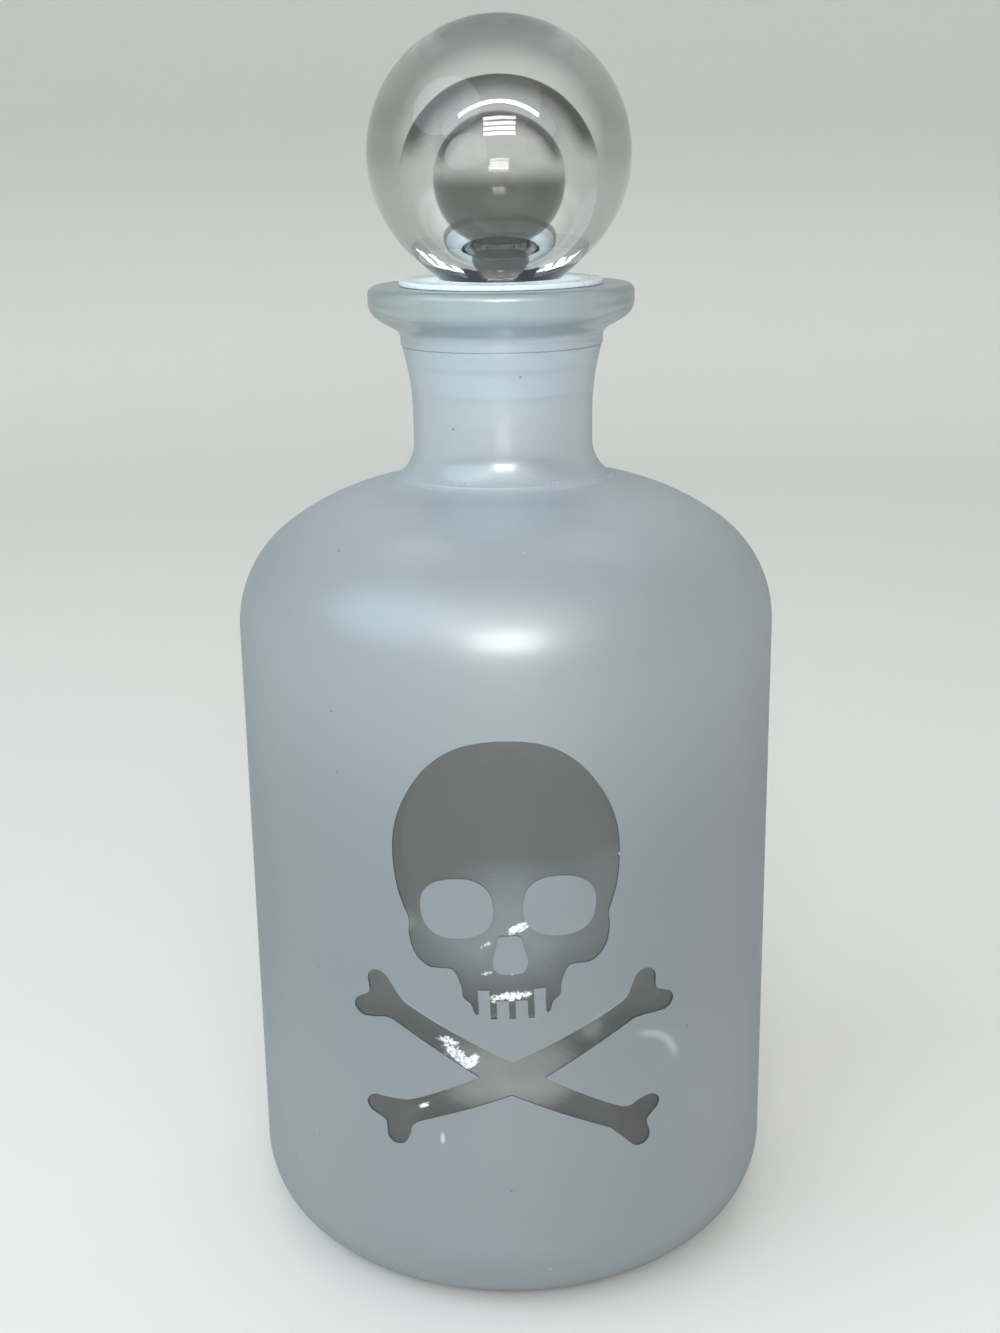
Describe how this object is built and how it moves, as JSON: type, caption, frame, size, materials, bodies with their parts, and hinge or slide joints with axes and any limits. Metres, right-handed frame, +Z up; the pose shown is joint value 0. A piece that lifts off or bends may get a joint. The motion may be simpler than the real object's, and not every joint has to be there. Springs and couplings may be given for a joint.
{
  "type": "decanter",
  "caption": "Round-shouldered frosted glass decanter with a clear skull-and-crossbones window and a thick lip, closed by a clear glass ball stopper in a finned plastic sleeve.",
  "frame": {"origin": "on the table, under the centre of the bottle", "axes": "+Z up along the bottle's axis, -Y towards the viewer, where the clear figure is, +X to the viewer's right"},
  "size_m": [0.105, 0.105, 0.2397],
  "materials": {
    "glass": "clear, smooth",
    "frost_coat": "satin blue-grey lacquer, translucent",
    "sleeve": "milky, translucent",
    "stopper_glass": "clear, polished"
  },
  "bodies": {
    "bottle_body": {"bottle": "glass", "frost_coat": "frost_coat"},
    "sleeve": {"stopper_sleeve": "sleeve"},
    "stopper": {"ball_stopper": "stopper_glass"}
  },
  "joints": [
    {"name": "stopper_lift", "type": "slide", "parent": "bottle_body", "child": "sleeve", "axis": [0, 0, 1], "range_m": [0, 0.06]},
    {"name": "stopper_twist", "type": "hinge", "parent": "sleeve", "child": "stopper", "pos_m": [0, 0, 0.1925], "axis": [0, 0, 1], "continuous": true}
  ]
}
